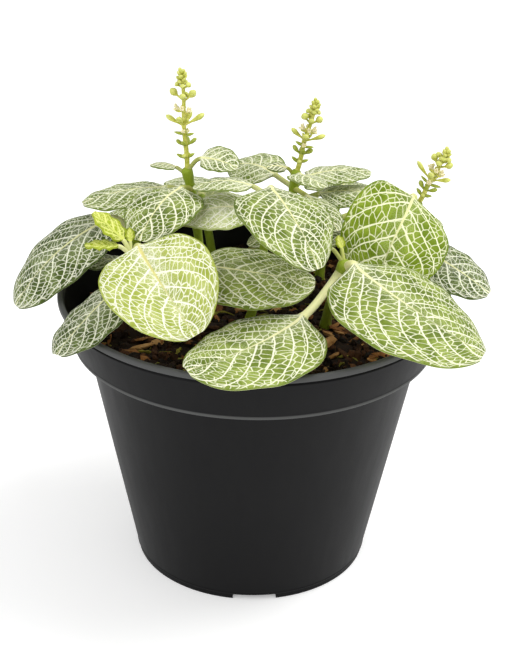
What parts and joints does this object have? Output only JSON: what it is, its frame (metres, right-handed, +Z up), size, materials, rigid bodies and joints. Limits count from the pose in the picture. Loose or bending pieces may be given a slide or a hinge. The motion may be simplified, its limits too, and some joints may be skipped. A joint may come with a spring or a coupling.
{
  "type": "potted nerve plant",
  "caption": "Nerve plant with white-veined oval leaves and small flower spikes, growing in a round black plastic nursery pot with a collar.",
  "frame": {"origin": "on the pot's axis, on the plane that its foot ring stands on", "axes": "+Z up along the pot's axis; +Y towards the back of the plant, away from the side with the largest leaves; +X to the right seen from the front"},
  "size_m": [0.1789, 0.1758, 0.1921],
  "materials": {
    "pot": "black moulded polypropylene, soft satin sheen, slightly brighter along the lip",
    "soil": "dark peat with brown bark bits and olive moss strands",
    "leaf": "quilted mid-green leaf with a dense net of cream-white veins",
    "stem": "fleshy yellow-green stem with fine pale down",
    "flower_spike": "yellow-green buds on a slim stalk",
    "young_leaf": "bright yellow-green young leaf with pale veins"
  },
  "bodies": {
    "root": {"pot": "pot", "root_ball": "soil", "stem_left_spike": "stem", "stem_centre_spike": "stem", "stem_right_spike": "stem", "stem_centre": "stem", "stem_front_right": "stem", "stem_front_left": "stem", "stem_left": "stem", "stem_back_left": "stem", "stem_back_right": "stem", "leaf_spike_left_right": "leaf", "leaf_spike_left_left": "leaf", "leaf_upper_left": "leaf", "leaf_left_back": "leaf", "leaf_left_inner": "leaf", "leaf_back_of_left_spike": "leaf", "leaf_spike_centre_front": "leaf", "leaf_spike_centre_left": "leaf", "leaf_centre_back": "leaf", "leaf_right_back": "leaf", "leaf_right_back_low": "leaf", "leaf_centre_right": "leaf", "leaf_centre": "leaf", "leaf_centre_left": "leaf", "leaf_centre_top": "leaf", "leaf_centre_under": "leaf", "leaf_front_right": "leaf", "leaf_front_centre": "leaf", "leaf_right_upright": "leaf", "leaf_far_right": "leaf", "leaf_right_behind": "leaf", "leaf_right_low": "leaf", "leaf_inner_right": "leaf", "leaf_front_left": "leaf", "leaf_low_left": "leaf", "leaf_low_centre": "leaf", "leaf_far_left": "leaf", "leaf_left_under": "leaf", "leaf_left_behind": "leaf", "leaf_back_far_left": "leaf", "leaf_back_left": "leaf", "leaf_back_middle": "leaf", "leaf_back_right": "leaf", "leaf_back_far_right": "leaf", "leaf_back_low": "leaf", "leaf_inner_back": "leaf", "young_left_upper": "young_leaf", "young_left_lower": "young_leaf", "young_left_right": "young_leaf", "young_right_upper": "young_leaf", "young_right_lower": "young_leaf", "spike_left": "flower_spike", "spike_centre": "flower_spike", "spike_right": "flower_spike"}
  },
  "joints": []
}
